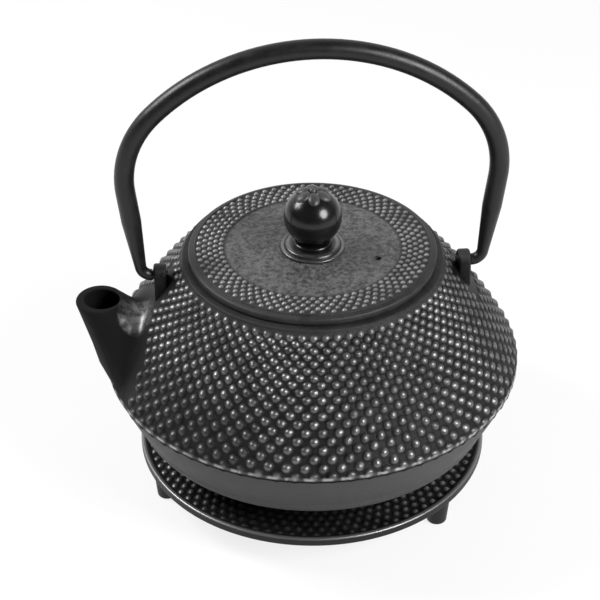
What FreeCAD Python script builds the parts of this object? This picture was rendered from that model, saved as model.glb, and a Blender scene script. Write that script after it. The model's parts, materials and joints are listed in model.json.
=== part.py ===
import FreeCAD, Part
import math
import os
import Sketcher

# Cast iron teapot with a hobnailed body, a swinging bail, a lift-off lid, a hanging
# infuser and the round trivet it stands on.  Millimetres; +Z is up and the spout points
# along -X.  Every piece is drawn about the pot's own axis, and the last step places the
# set so that the origin lies under the middle of its outline, in the plane of the feet.

SIZES = (
    # Trivet: round plate with a raised rim, a flat landing for the pot and three feet
    ("trivet_radius", 68.0),
    ("trivet_foot_height", 12.5),
    ("trivet_side", 3.5),
    ("trivet_rim_width", 2.6),
    ("trivet_floor", 2.0),
    ("trivet_landing_rise", 1.0),
    ("trivet_landing_margin", 3.5),
    ("trivet_edge_round", 0.8),
    ("trivet_foot_inset", 6.6),
    ("trivet_foot_tip_radius", 3.8),
    ("trivet_foot_root_radius", 5.0),
    ("trivet_foot_round", 1.2),
    ("trivet_foot_turn", 76.8),
    ("trivet_foot_count", 3),
    # Pot: turned form from the foot ring up to the collar
    ("foot_ring_outer", 44.0),
    ("foot_ring_width", 5.0),
    ("foot_ring_flare", 0.9),
    ("foot_ring_height", 2.4),
    ("foot_recess", 2.0),
    ("hip_height", 12.6),
    ("hip_rise", 6.6),
    ("hip_batter", 5.2),
    ("hip_round", 8.0),
    ("band_height", 18.2),
    ("band_batter", 8.5),
    ("band_round", 95.0),
    ("ridge_radius", 79.4),
    ("ridge_overhang", 0.7),
    ("ridge_rise", 0.5),
    ("ridge_land", 1.1),
    ("shoulder_rise", 40.8),
    ("shoulder_top_radius", 50.6),
    ("shoulder_round", 210.0),
    ("collar_step", 1.2),
    ("collar_height", 3.2),
    ("collar_edge", 1.0),
    ("collar_rim_round", 0.6),
    ("wall", 4.0),
    ("mouth_land", 10.2),
    ("mouth_lip", 4.2),
    ("rest_width", 4.0),
    ("rest_depth", 1.0),
    # Spout: five level ovals from inside the belly up to the mouth, each a step above the last
    # and set out from the shoulder's slope
    ("spout_sink", 4.0),
    ("spout_step_b", 8.0),
    ("spout_step_c", 10.0),
    ("spout_step_d", 8.5),
    ("spout_step_e", 5.9),
    ("spout_out_a", -22.2),
    ("spout_out_b", -10.6),
    ("spout_out_c", 1.7),
    ("spout_out_d", 13.4),
    ("spout_out_e", 21.647),
    ("spout_half_a", 17.0),
    ("spout_half_b", 16.8),
    ("spout_half_c", 14.4),
    ("spout_half_d", 11.6),
    ("spout_half_e", 9.0),
    ("spout_wide_a", 29.0),
    ("spout_wide_b", 26.0),
    ("spout_wide_c", 18.5),
    ("spout_wide_d", 12.2),
    ("spout_wide_e", 9.2),
    ("spout_wall", 3.4),
    ("spout_root_round", 4.0),
    ("spout_lip_round", 0.9),
    ("spout_throat_round", 0.6),
    # Ears that carry the bail
    ("ear_stand", 4.6),
    ("ear_thickness", 4.8),
    ("ear_half_width", 4.2),
    ("ear_root_half_width", 6.2),
    ("ear_root_sink", 1.1),
    ("ear_round", 1.0),
    ("bail_pin_clear", 1.4),
    ("bail_fit", 0.1),
    # Bail: round bar, a wide arch with two rounded shoulders and hooked ends
    ("bail_rise", 92.6),
    ("bail_arch_radius", 81.5),
    ("bail_shoulder_radius", 38.5),
    ("bail_hook_gap", 0.43),
    ("bail_lean", 7.0),
    ("bail_bar_radius", 3.7),
    ("bail_leg_end_radius", 2.2),
    ("bail_hook_radius", 1.7),
    ("bail_taper_rise", 24.0),
    ("bail_bend_radius", 4.4),
    ("bail_tip_reach", 0.6),
    ("bail_tip_round", 0.8),
    # Lid: flat disc with a locating skirt, a vent and a screw hole
    ("lid_setback", 2.6),
    ("lid_thickness", 3.4),
    ("lid_under_chamfer", 0.8),
    ("lid_edge_round", 0.8),
    ("lid_rim_width", 2.0),
    ("lid_rim_drop", 0.6),
    ("lid_bead_width", 0.9),
    ("lid_bead_rise", 0.35),
    ("lid_bead_round", 0.3),
    ("skirt_gap", 0.7),
    ("skirt_thickness", 2.6),
    ("skirt_depth", 5.0),
    ("vent_radius", 1.4),
    ("vent_reach", 25.4),
    ("vent_turn", 23.0),
    # Knob, its stepped rosette and the screw that draws both down on the lid
    ("rosette_radius", 12.2),
    ("rosette_step_radius", 10.3),
    ("rosette_step", 1.0),
    ("rosette_round", 0.6),
    ("knob_radius", 10.9),
    ("knob_foot_radius", 7.6),
    ("knob_foot_height", 1.6),
    ("knob_neck_radius", 4.4),
    ("knob_foot_round", 0.5),
    ("screw_radius", 2.0),
    ("screw_grip", 8.0),
    ("screw_clearance", 0.3),
    ("screw_head_radius", 4.0),
    ("screw_head_height", 2.2),
    ("screw_slot_width", 1.0),
    ("screw_slot_depth", 0.9),
    ("washer_radius", 6.0),
    ("washer_thickness", 0.8),
    # Infuser: flanged rim, sheet wall and a bottom cap
    ("infuser_rest_gap", 0.3),
    ("infuser_mouth_gap", 0.5),
    ("infuser_rim_wall", 0.8),
    ("infuser_rim_depth", 6.0),
    ("infuser_sheet", 0.6),
    ("infuser_depth", 45.0),
    ("infuser_cap_lip", 3.0),
)

doc = FreeCAD.newDocument("teapot")
sheet = doc.addObject("Spreadsheet::Sheet", "Sizes")
for row, (name, value) in enumerate(SIZES, 1):
    sheet.set("A%d" % row, name)
    sheet.set("B%d" % row, str(value))
    sheet.setAlias("B%d" % row, name)
doc.recompute()


class Size:
    """A length or angle that carries its number and its spreadsheet formula."""

    def __init__(self, value, formula):
        self.value = float(value)
        self.formula = formula

    def join(self, sign, other, value):
        return Size(value, "(%s %s %s)" % (self.formula, sign, other.formula))

    def __add__(self, other):
        other = as_size(other)
        return self.join("+", other, self.value + other.value)

    def __sub__(self, other):
        other = as_size(other)
        return self.join("-", other, self.value - other.value)

    def __mul__(self, other):
        other = as_size(other)
        return self.join("*", other, self.value * other.value)

    def __truediv__(self, other):
        other = as_size(other)
        return self.join("/", other, self.value / other.value)

    def __neg__(self):
        return Size(-self.value, "(-1 * %s)" % self.formula)


def as_size(number):
    return number if isinstance(number, Size) else Size(number, repr(float(number)))


def size(name):
    return Size(getattr(sheet, name), "Sizes." + name)


def sin(angle):
    return Size(math.sin(math.radians(angle.value)), "sin(%s)" % angle.formula)


def cos(angle):
    return Size(math.cos(math.radians(angle.value)), "cos(%s)" % angle.formula)


def tan(angle):
    return Size(math.tan(math.radians(angle.value)), "tan(%s)" % angle.formula)


def root(square):
    return Size(math.sqrt(square.value), "sqrt(%s)" % square.formula)


ZERO = as_size(0.0)
NEAR = 0.02


# Helpers: bodies, sketches on their own origin planes, closed outlines and features
def body_of(label):
    body = doc.addObject("PartDesign::Body", label)
    body.Label = label
    return body


def origin_feature(body, role):
    return [part for part in body.Origin.OriginFeatures if part.Role == role][0]


def sketch_on(body, name, role, base=None, axis=None, angle=None):
    sketch = body.newObject("Sketcher::SketchObject", name)
    sketch.AttachmentSupport = [(origin_feature(body, role), "")]
    sketch.MapMode = "FlatFace"
    if base is None:
        return sketch
    numbers = FreeCAD.Vector(*[part.value for part in base])
    turn = FreeCAD.Rotation()
    if axis is not None:
        turn = FreeCAD.Rotation(FreeCAD.Vector(*axis), angle.value)
    sketch.AttachmentOffset = FreeCAD.Placement(numbers, turn)
    for letter, part in zip("xyz", base):
        sketch.setExpression("AttachmentOffset.Base." + letter, part.formula)
    if axis is not None:
        sketch.setExpression("AttachmentOffset.Rotation.Angle", angle.formula)
    return sketch


def bind_datum(sketch, constraint, formula):
    index = sketch.addConstraint(constraint)
    sketch.setExpression("Constraints[%d]" % index, formula)


def pin_point(sketch, curve, end, x, y):
    """Hold one end of a curve at two measured distances from the sketch's origin and axes."""
    for kind, part, axis in (("DistanceX", x, -2), ("DistanceY", y, -1)):
        if part.value == 0.0:
            sketch.addConstraint(Sketcher.Constraint("PointOnObject", curve, end, axis))
        elif part.value > 0.0:
            rule = Sketcher.Constraint(kind, -1, 1, curve, end, part.value)
            bind_datum(sketch, rule, part.formula)
        else:
            rule = Sketcher.Constraint(kind, curve, end, -1, 1, -part.value)
            bind_datum(sketch, rule, (-part).formula)


def arc_between(start, finish, radius, side):
    """The short arc of a radius from start to finish, bulging to the left (1) or right (-1)."""
    ax, ay = start
    bx, by = finish
    chord = math.hypot(bx - ax, by - ay)
    rise = math.sqrt(radius * radius - chord * chord / 4.0)
    mx, my = (ax + bx) / 2.0, (ay + by) / 2.0
    nx, ny = -(by - ay) / chord, (bx - ax) / chord
    cx, cy = mx - side * rise * nx, my - side * rise * ny
    top = FreeCAD.Vector(cx + side * radius * nx, cy + side * radius * ny, 0)
    return Part.Arc(FreeCAD.Vector(ax, ay, 0), top, FreeCAD.Vector(bx, by, 0))


def outline(sketch, points, bends=None):
    """A closed outline through points; bends gives radius and side for the edge leaving a point."""
    bends = bends or {}
    count = len(points)
    ends = {}
    for number in range(count):
        here = (points[number][0].value, points[number][1].value)
        there = (points[(number + 1) % count][0].value, points[(number + 1) % count][1].value)
        if number in bends:
            radius, side = bends[number]
            curve = sketch.addGeometry(arc_between(here, there, radius.value, side), False)
            rule = Sketcher.Constraint("Radius", curve, radius.value)
            bind_datum(sketch, rule, radius.formula)
            ends[number] = (curve, 2, 1) if side > 0 else (curve, 1, 2)
        else:
            line = Part.LineSegment(FreeCAD.Vector(*here, 0), FreeCAD.Vector(*there, 0))
            ends[number] = (sketch.addGeometry(line, False), 1, 2)
    for number in range(count):
        curve, first, last = ends[number]
        follower, follow_first, follow_last = ends[(number + 1) % count]
        sketch.addConstraint(Sketcher.Constraint("Coincident", curve, last, follower, follow_first))
    for number in range(count):
        curve, first, last = ends[number]
        pin_point(sketch, curve, first, points[number][0], points[number][1])


def circle_in(sketch, radius, x=ZERO, y=ZERO):
    shape = Part.Circle(FreeCAD.Vector(x.value, y.value, 0), FreeCAD.Vector(0, 0, 1), radius.value)
    curve = sketch.addGeometry(shape, False)
    bind_datum(sketch, Sketcher.Constraint("Radius", curve, radius.value), radius.formula)
    pin_point(sketch, curve, 3, x, y)


def oval_in(sketch, half_x, half_y):
    """An oval on the sketch's origin, with its half sizes along the sketch's two axes."""
    upright = half_y.value >= half_x.value
    long_half = half_y if upright else half_x
    short_half = half_x if upright else half_y
    far = FreeCAD.Vector(0, long_half.value, 0) if upright else FreeCAD.Vector(long_half.value, 0, 0)
    near = FreeCAD.Vector(-short_half.value, 0, 0) if upright else FreeCAD.Vector(0, short_half.value, 0)
    curve = sketch.addGeometry(Part.Ellipse(far, near, FreeCAD.Vector(0, 0, 0)), False)
    sketch.exposeInternalGeometry(curve)
    long_line = curve + 1
    short_line = curve + 2
    sketch.addConstraint(Sketcher.Constraint("Coincident", curve, 3, -1, 1))
    sketch.addConstraint(Sketcher.Constraint("Vertical" if upright else "Horizontal", long_line))
    for line, half in ((long_line, long_half), (short_line, short_half)):
        bind_datum(sketch, Sketcher.Constraint("Distance", line, 2 * half.value), (half + half).formula)


def turned(body, name, points, bends=None, cut=False):
    """A ring or disc made by turning an outline in the upright plane about the pot's axis."""
    sketch = sketch_on(body, name + "_outline", "XZ_Plane")
    outline(sketch, points, bends)
    feature = body.newObject("PartDesign::Groove" if cut else "PartDesign::Revolution", name)
    feature.Profile = sketch
    feature.ReferenceAxis = (sketch, ["V_Axis"])
    feature.Angle = 360.0
    doc.recompute()
    return feature


def rounded(body, name, feature, radius, wanted):
    """A fillet on the edges of a feature that the test called wanted picks out."""
    edges = []
    for number, edge in enumerate(feature.Shape.Edges, 1):
        if wanted(edge):
            edges.append("Edge%d" % number)
    fillet = body.newObject("PartDesign::Fillet", name)
    fillet.Base = (feature, edges)
    fillet.Radius = radius.value
    fillet.setExpression("Radius", radius.formula)
    doc.recompute()
    return fillet


def curve_of(edge):
    """The curve under an edge, or None where a blend left one without a named kind."""
    try:
        return edge.Curve
    except TypeError:
        return None


def is_circle_at(edge, radius, height):
    """True for a level circle about the pot's axis with this radius and height."""
    curve = curve_of(edge)
    if not isinstance(curve, Part.Circle):
        return False
    near_axis = math.hypot(curve.Center.x, curve.Center.y) < NEAR
    return near_axis and abs(curve.Radius - radius.value) < NEAR and abs(curve.Center.z - height.value) < NEAR


# Trivet: one casting, turned plate with rim and landing, three tapered feet below it
trivet = body_of("trivet")
plate_low = size("trivet_foot_height")
plate_top = plate_low + size("trivet_side")
floor_top = plate_low + size("trivet_floor")
landing_top = floor_top + size("trivet_landing_rise")
rim_inner = size("trivet_radius") - size("trivet_rim_width")
landing_radius = size("foot_ring_outer") + size("trivet_landing_margin")
plate = turned(trivet, "trivet_plate", [
    (ZERO, plate_low),
    (size("trivet_radius"), plate_low),
    (size("trivet_radius"), plate_top),
    (rim_inner, plate_top),
    (rim_inner, floor_top),
    (landing_radius, floor_top),
    (landing_radius, landing_top),
    (ZERO, landing_top),
])
foot_circle = size("trivet_radius") - size("trivet_foot_inset")
foot_x = foot_circle * cos(size("trivet_foot_turn"))
foot_y = foot_circle * sin(size("trivet_foot_turn"))
foot_tip = sketch_on(trivet, "trivet_foot_tip", "XY_Plane")
circle_in(foot_tip, size("trivet_foot_tip_radius"), foot_x, foot_y)
foot_root = sketch_on(trivet, "trivet_foot_root", "XY_Plane", (ZERO, ZERO, plate_low))
circle_in(foot_root, size("trivet_foot_root_radius"), foot_x, foot_y)
foot = trivet.newObject("PartDesign::AdditiveLoft", "trivet_foot")
foot.Profile = foot_tip
foot.Sections = [foot_root]
doc.recompute()
feet = trivet.newObject("PartDesign::PolarPattern", "trivet_feet")
feet.Originals = [foot]
feet.Axis = (origin_feature(trivet, "Z_Axis"), [""])
feet.Angle = 360.0
feet.Occurrences = int(size("trivet_foot_count").value)
trivet.Tip = feet
doc.recompute()
plate_edges = rounded(trivet, "trivet_edges", feet, size("trivet_edge_round"), lambda edge: (
    is_circle_at(edge, size("trivet_radius"), plate_low)
    or is_circle_at(edge, size("trivet_radius"), plate_top)
    or is_circle_at(edge, rim_inner, plate_top)))
rounded(trivet, "trivet_foot_ends", plate_edges, size("trivet_foot_round"), lambda edge: (
    edge.BoundBox.ZMax < NEAR))

# Pot: turned casting with spout and ears joined on, then hollowed
pot = body_of("pot_body")
base = landing_top
ridge_radius = size("ridge_radius")
band_top_radius = ridge_radius - size("ridge_overhang")
band_low_radius = band_top_radius - size("band_batter")
hip = (band_low_radius - size("hip_batter"), base + size("hip_height"))
band_low = (band_low_radius, hip[1] + size("hip_rise"))
band_top = (band_top_radius, band_low[1] + size("band_height"))
ridge_low = (ridge_radius, band_top[1] + size("ridge_rise"))
ridge_top = (ridge_radius, ridge_low[1] + size("ridge_land"))
shoulder_top = (size("shoulder_top_radius"), ridge_top[1] + size("shoulder_rise"))
collar_radius = shoulder_top[0] - size("collar_step")
collar_top = shoulder_top[1] + size("collar_height")
mouth_radius = collar_radius - size("mouth_land")
rest_radius = mouth_radius + size("rest_width")
ring_inner = size("foot_ring_outer") - size("foot_ring_width")
ring_top = (size("foot_ring_outer") + size("foot_ring_flare"), base + size("foot_ring_height"))
recess_top = base + size("foot_recess")
shell = turned(pot, "pot_shell", [
    (ZERO, recess_top),
    (ring_inner, recess_top),
    (ring_inner, base),
    (size("foot_ring_outer"), base),
    ring_top,
    hip,
    band_low,
    band_top,
    ridge_low,
    ridge_top,
    shoulder_top,
    (collar_radius, collar_top - size("collar_edge")),
    (collar_radius, collar_top),
    (ZERO, collar_top),
], {5: (size("hip_round"), -1), 6: (size("band_round"), -1), 9: (size("shoulder_round"), -1)})

# Spout: lofted through level ovals, wide at the belly and round at the mouth
LEVELS = "abcde"
shoulder_slope = size("shoulder_rise") / (ridge_radius - shoulder_top[0])
level = ridge_top[1] - size("spout_sink")
spout_levels = {LEVELS[0]: level}
for letter in LEVELS[1:]:
    level = level + size("spout_step_" + letter)
    spout_levels[letter] = level


def spout_reach(letter):
    """Distance of an oval's middle from the pot's axis, reckoned from the shoulder's slope."""
    return ridge_radius - (spout_levels[letter] - ridge_top[1]) / shoulder_slope + size("spout_out_" + letter)


def spout_sections(name, shrink, lift):
    sections = []
    for letter in LEVELS:
        level = spout_levels[letter]
        if letter == LEVELS[-1]:
            level = level + lift
        if letter == LEVELS[0]:
            level = level + shrink
        section = sketch_on(pot, name + "_" + letter, "XY_Plane", (-spout_reach(letter), ZERO, level))
        oval_in(section, size("spout_half_" + letter) - shrink, size("spout_wide_" + letter) - shrink)
        sections.append(section)
    return sections


horn_sections = spout_sections("spout_oval", ZERO, ZERO)
horn = pot.newObject("PartDesign::AdditiveLoft", "spout_horn")
horn.Profile = horn_sections[0]
horn.Sections = horn_sections[1:]
doc.recompute()


def lies_on(edge, face):
    """True when three points along an edge are on a face."""
    span = edge.LastParameter - edge.FirstParameter
    spots = [edge.valueAt(edge.FirstParameter + span * part) for part in (0.25, 0.5, 0.75)]
    return all(face.distToShape(Part.Vertex(spot))[0] < NEAR for spot in spots)


shoulder_face = max((face for face in shell.Shape.Faces if face.CenterOfMass.z > ridge_top[1].value),
                    key=lambda face: face.Area)
rounded(pot, "spout_root", horn, size("spout_root_round"), lambda edge: (
    isinstance(curve_of(edge), Part.BSplineCurve) and lies_on(edge, shoulder_face)))

# Ears: two upright lugs on the shoulder, bored for the bail's hooked ends
ear_inner = shoulder_top[0] + size("ear_stand")
ear_outer = ear_inner + size("ear_thickness")
ear_outline = sketch_on(pot, "ear_outline", "YZ_Plane", (ZERO, ZERO, ear_inner))
pin_foot = shoulder_top[1] - (size("ear_stand") - size("bail_tip_reach")) * shoulder_slope
axis_height = pin_foot + size("bail_hook_radius") + size("bail_pin_clear")
ear_root = shoulder_top[1] - (ear_outer + size("ear_root_sink") - shoulder_top[0]) * shoulder_slope
outline(ear_outline, [
    (-size("ear_root_half_width"), ear_root),
    (size("ear_root_half_width"), ear_root),
    (size("ear_half_width"), axis_height),
    (ZERO, axis_height + size("ear_half_width")),
    (-size("ear_half_width"), axis_height),
], {2: (size("ear_half_width"), -1), 3: (size("ear_half_width"), -1)})
circle_in(ear_outline, size("bail_hook_radius") + size("bail_fit"), ZERO, axis_height)
ear = pot.newObject("PartDesign::Pad", "ear")
ear.Profile = ear_outline
ear.Length = size("ear_thickness").value
ear.setExpression("Length", size("ear_thickness").formula)
doc.recompute()
ears = pot.newObject("PartDesign::Mirrored", "ears")
ears.Originals = [ear]
ears.MirrorPlane = (origin_feature(pot, "YZ_Plane"), [""])
pot.Tip = ears
doc.recompute()


def on_ear_face(edge):
    """True for the outer rim of an ear's two flat faces, above the shoulder."""
    box = edge.BoundBox
    flat = box.XLength < NEAR and any(abs(abs(box.XMin) - part.value) < NEAR for part in (ear_inner, ear_outer))
    curve = curve_of(edge)
    straight = isinstance(curve, Part.Line)
    crown = isinstance(curve, Part.Circle) and curve.Radius > size("ear_half_width").value - NEAR
    return flat and (straight or crown)


rounded(pot, "ear_rims", ears, size("ear_round"), on_ear_face)

# Hollow inside, with an inward lip and a rest for the infuser's flange
lip_under = collar_top - size("mouth_lip")
rest_height = collar_top - size("rest_depth")
floor_height = recess_top + size("wall")
open_top = collar_top + size("wall")
hollow = turned(pot, "pot_hollow", [
    (ZERO, floor_height),
    (size("foot_ring_outer"), floor_height),
    (hip[0] - size("wall") / 2, hip[1] + size("wall")),
    (band_low[0] - size("wall"), band_low[1] + size("wall") / 4),
    (ridge_radius - size("wall"), ridge_low[1]),
    (shoulder_top[0] - size("wall"), lip_under),
    (mouth_radius, lip_under),
    (mouth_radius, rest_height),
    (rest_radius, rest_height),
    (rest_radius, open_top),
    (ZERO, open_top),
], {3: (size("band_round"), -1), 4: (size("shoulder_round"), -1)}, cut=True)
bore_sections = spout_sections("spout_bore", size("spout_wall"), size("spout_wall"))
bore = pot.newObject("PartDesign::SubtractiveLoft", "spout_way")
bore.Profile = bore_sections[0]
bore.Sections = bore_sections[1:]
doc.recompute()
mouth_height = spout_levels[LEVELS[-1]].value


def on_mouth(edge, outer):
    """True for the outer, or the inner, edge of the spout's mouth."""
    box = edge.BoundBox
    level = box.ZLength < NEAR and box.XMax < 0 and abs(box.ZMax - mouth_height) < NEAR
    return level and (box.YLength > 2 * (size("spout_wide_e") - size("spout_wall") / 2).value) == outer


collar_rim = rounded(pot, "collar_rim", bore, size("collar_rim_round"), lambda edge: (
    is_circle_at(edge, collar_radius, collar_top)))
outer_lip = rounded(pot, "spout_lip", collar_rim, size("spout_lip_round"), lambda edge: on_mouth(edge, True))
rounded(pot, "spout_throat", outer_lip, size("spout_throat_round"), lambda edge: on_mouth(edge, False))

# Bail: half of the arch is swept, its leg tapered and its end hooked, then mirrored
bail = body_of("handle")
lean = size("bail_lean")
bail_top = axis_height + size("bail_rise")
arch_low = bail_top - size("bail_arch_radius")
bend_run = size("bail_bend_radius") * tan((as_size(90.0) - lean) / 2)
hook_x = ear_outer + size("bail_hook_gap")
corner_x = hook_x + bend_run
bend_x = corner_x + bend_run * sin(lean)
bend_z = axis_height + bend_run * cos(lean)

# The leg leans out from the ear until the shoulder's arc meets it and the arch
foot_x = corner_x - size("bail_shoulder_radius") * cos(lean)
foot_z = axis_height + size("bail_shoulder_radius") * sin(lean) - arch_low
radius_step = size("bail_arch_radius") - size("bail_shoulder_radius")
across = foot_x * cos(lean) - foot_z * sin(lean)
leg_length = root(radius_step * radius_step - across * across) - foot_x * sin(lean) - foot_z * cos(lean)
shoulder_x = foot_x + leg_length * sin(lean)
shoulder_z = arch_low + foot_z + leg_length * cos(lean)
leg_top_x = corner_x + leg_length * sin(lean)
leg_top_z = axis_height + leg_length * cos(lean)
taper_z = axis_height + size("bail_taper_rise")
taper_x = corner_x + size("bail_taper_rise") * tan(lean)

arch_path = sketch_on(bail, "arch_path", "XZ_Plane")
join_turn = math.degrees(math.asin(shoulder_x.value / radius_step.value))
arch_circle = Part.Circle(FreeCAD.Vector(0, arch_low.value, 0), FreeCAD.Vector(0, 0, 1),
                          size("bail_arch_radius").value)
arch_arc = Part.ArcOfCircle(arch_circle, math.radians(90 - join_turn), math.radians(90))
top_arc = arch_path.addGeometry(arch_arc, False)
shoulder_circle = Part.Circle(FreeCAD.Vector(shoulder_x.value, shoulder_z.value, 0),
                              FreeCAD.Vector(0, 0, 1), size("bail_shoulder_radius").value)
shoulder_arc = Part.ArcOfCircle(shoulder_circle, math.radians(-lean.value), math.radians(90 - join_turn))
side_arc = arch_path.addGeometry(shoulder_arc, False)
leg = Part.LineSegment(FreeCAD.Vector(taper_x.value, taper_z.value, 0),
                       FreeCAD.Vector(leg_top_x.value, leg_top_z.value, 0))
leg_line = arch_path.addGeometry(leg, False)
arch_path.addConstraint(Sketcher.Constraint("PointOnObject", top_arc, 3, -2))
pin_point(arch_path, top_arc, 2, ZERO, bail_top)
bind_datum(arch_path, Sketcher.Constraint("Radius", top_arc, size("bail_arch_radius").value),
           size("bail_arch_radius").formula)
arch_path.addConstraint(Sketcher.Constraint("Tangent", top_arc, 1, side_arc, 2))
bind_datum(arch_path, Sketcher.Constraint("Radius", side_arc, size("bail_shoulder_radius").value),
           size("bail_shoulder_radius").formula)
bind_datum(arch_path, Sketcher.Constraint("DistanceX", -1, 1, side_arc, 3, shoulder_x.value),
           shoulder_x.formula)
arch_path.addConstraint(Sketcher.Constraint("Tangent", side_arc, 1, leg_line, 2))
pin_point(arch_path, leg_line, 1, taper_x, taper_z)
arch_ring = sketch_on(bail, "arch_ring", "YZ_Plane")
circle_in(arch_ring, size("bail_bar_radius"), ZERO, bail_top)
arch = bail.newObject("PartDesign::AdditivePipe", "arch")
arch.Profile = arch_ring
arch.Spine = (arch_path, ["Edge1", "Edge2", "Edge3"])
doc.recompute()

leg_rings = []
for name, x, z, radius in (("leg_top", taper_x, taper_z, size("bail_bar_radius")),
                           ("leg_end", bend_x, bend_z, size("bail_leg_end_radius")),
                           ("bend_start", bend_x, bend_z, size("bail_leg_end_radius"))):
    ring = sketch_on(bail, name, "XY_Plane", (x, ZERO, z), (0, 1, 0), lean)
    circle_in(ring, radius)
    leg_rings.append(ring)
tapered_leg = bail.newObject("PartDesign::AdditiveLoft", "tapered_leg")
tapered_leg.Profile = leg_rings[0]
tapered_leg.Sections = [leg_rings[1]]
doc.recompute()

bend_path = sketch_on(bail, "bend_path", "XZ_Plane")
bend_middle = axis_height + size("bail_bend_radius")
bend_circle = Part.Circle(FreeCAD.Vector(hook_x.value, bend_middle.value, 0), FreeCAD.Vector(0, 0, 1),
                          size("bail_bend_radius").value)
bend_arc = Part.ArcOfCircle(bend_circle, math.radians(-90), math.radians(-lean.value))
bend_curve = bend_path.addGeometry(bend_arc, False)
pin_point(bend_path, bend_curve, 3, hook_x, bend_middle)
pin_point(bend_path, bend_curve, 1, hook_x, axis_height)
bind_datum(bend_path, Sketcher.Constraint("DistanceX", -1, 1, bend_curve, 2, bend_x.value), bend_x.formula)
bend = bail.newObject("PartDesign::AdditivePipe", "bend")
bend.Profile = leg_rings[2]
bend.Spine = (bend_path, ["Edge1"])
doc.recompute()
bail_tip = ear_inner - size("bail_tip_reach")
pin_ring = sketch_on(bail, "pin_ring", "YZ_Plane", (ZERO, ZERO, bail_tip))
circle_in(pin_ring, size("bail_hook_radius"), ZERO, axis_height)
pin = bail.newObject("PartDesign::Pad", "pin")
pin.Profile = pin_ring
pin.Length = (hook_x - bail_tip).value
pin.setExpression("Length", (hook_x - bail_tip).formula)
doc.recompute()
both_sides = bail.newObject("PartDesign::Mirrored", "both_sides")
both_sides.Originals = [arch, tapered_leg, bend, pin]
both_sides.MirrorPlane = (origin_feature(bail, "YZ_Plane"), [""])
bail.Tip = both_sides
doc.recompute()
rounded(bail, "hook_tips", both_sides, size("bail_tip_round"), lambda edge: (
    edge.BoundBox.XLength < NEAR and abs(abs(edge.BoundBox.XMin) - bail_tip.value) < NEAR))

# Infuser: flanged rim that hangs in the collar's rest, sheet wall and lipped bottom cap
rim_outer = mouth_radius - size("infuser_mouth_gap")
rim_inner_radius = rim_outer - size("infuser_rim_wall")
sheet_inner = rim_inner_radius - size("infuser_sheet")
basket_low = collar_top - size("infuser_depth")
infuser_rim = body_of("infuser_rim")
turned(infuser_rim, "rim_section", [
    (rim_inner_radius, collar_top - size("infuser_rim_depth")),
    (rim_outer, collar_top - size("infuser_rim_depth")),
    (rim_outer, rest_height),
    (rest_radius - size("infuser_rest_gap"), rest_height),
    (rest_radius - size("infuser_rest_gap"), collar_top),
    (rim_inner_radius, collar_top),
])
infuser_wall = body_of("infuser_wall")
turned(infuser_wall, "wall_section", [
    (sheet_inner, basket_low),
    (rim_inner_radius, basket_low),
    (rim_inner_radius, rest_height),
    (sheet_inner, rest_height),
])
infuser_cap = body_of("infuser_bottom")
cap_outer = rim_inner_radius + size("infuser_sheet")
cap_low = basket_low - size("infuser_sheet")
turned(infuser_cap, "cap_section", [
    (ZERO, cap_low),
    (cap_outer, cap_low),
    (cap_outer, cap_low + size("infuser_cap_lip")),
    (rim_inner_radius, cap_low + size("infuser_cap_lip")),
    (rim_inner_radius, basket_low),
    (ZERO, basket_low),
])

# Lid: flat disc over the collar, its skirt inside the infuser
lid = body_of("lid")
lid_radius = collar_radius - size("lid_setback")
lid_low = collar_top
lid_top = lid_low + size("lid_thickness")
bead_outer = lid_radius - size("lid_rim_width")
bead_inner = bead_outer - size("lid_bead_width")
bead_top = lid_top + size("lid_bead_rise")
skirt_outer = sheet_inner - size("skirt_gap")
skirt_inner = skirt_outer - size("skirt_thickness")
skirt_low = lid_low - size("skirt_depth")
screw_hole = size("screw_radius") + size("screw_clearance")
lid_disc = turned(lid, "lid_disc", [
    (screw_hole, lid_low),
    (skirt_inner, lid_low),
    (skirt_inner, skirt_low),
    (skirt_outer, skirt_low),
    (skirt_outer, lid_low),
    (lid_radius - size("lid_under_chamfer"), lid_low),
    (lid_radius, lid_low + size("lid_under_chamfer")),
    (lid_radius, lid_top - size("lid_rim_drop")),
    (bead_outer, lid_top),
    (bead_outer, bead_top),
    (bead_inner, bead_top),
    (bead_inner, lid_top),
    (screw_hole, lid_top),
])
vent_circle = sketch_on(lid, "vent_circle", "XY_Plane", (ZERO, ZERO, lid_top))
circle_in(vent_circle, size("vent_radius"), size("vent_reach") * cos(size("vent_turn")),
          -(size("vent_reach") * sin(size("vent_turn"))))
vent = lid.newObject("PartDesign::Pocket", "vent")
vent.Profile = vent_circle
vent.Length = size("lid_thickness").value
vent.setExpression("Length", size("lid_thickness").formula)
doc.recompute()
soft_edge = rounded(lid, "lid_edge", vent, size("lid_edge_round"), lambda edge: (
    is_circle_at(edge, lid_radius, lid_top - size("lid_rim_drop"))))
rounded(lid, "lid_bead", soft_edge, size("lid_bead_round"), lambda edge: (
    is_circle_at(edge, bead_outer, bead_top) or is_circle_at(edge, bead_inner, bead_top)))

# Rosette: stepped ring between the lid and the knob
rosette = body_of("knob_rosette")
rosette_low_step = lid_top + size("rosette_step")
rosette_top = rosette_low_step + size("rosette_step")
rosette_ring = turned(rosette, "rosette_section", [
    (screw_hole, lid_top),
    (size("rosette_radius"), lid_top),
    (size("rosette_radius"), rosette_low_step),
    (size("rosette_step_radius"), rosette_low_step),
    (size("rosette_step_radius"), rosette_top),
    (screw_hole, rosette_top),
])
rounded(rosette, "rosette_steps", rosette_ring, size("rosette_round"), lambda edge: (
    is_circle_at(edge, size("rosette_radius"), rosette_low_step)
    or is_circle_at(edge, size("rosette_step_radius"), rosette_top)))

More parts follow.
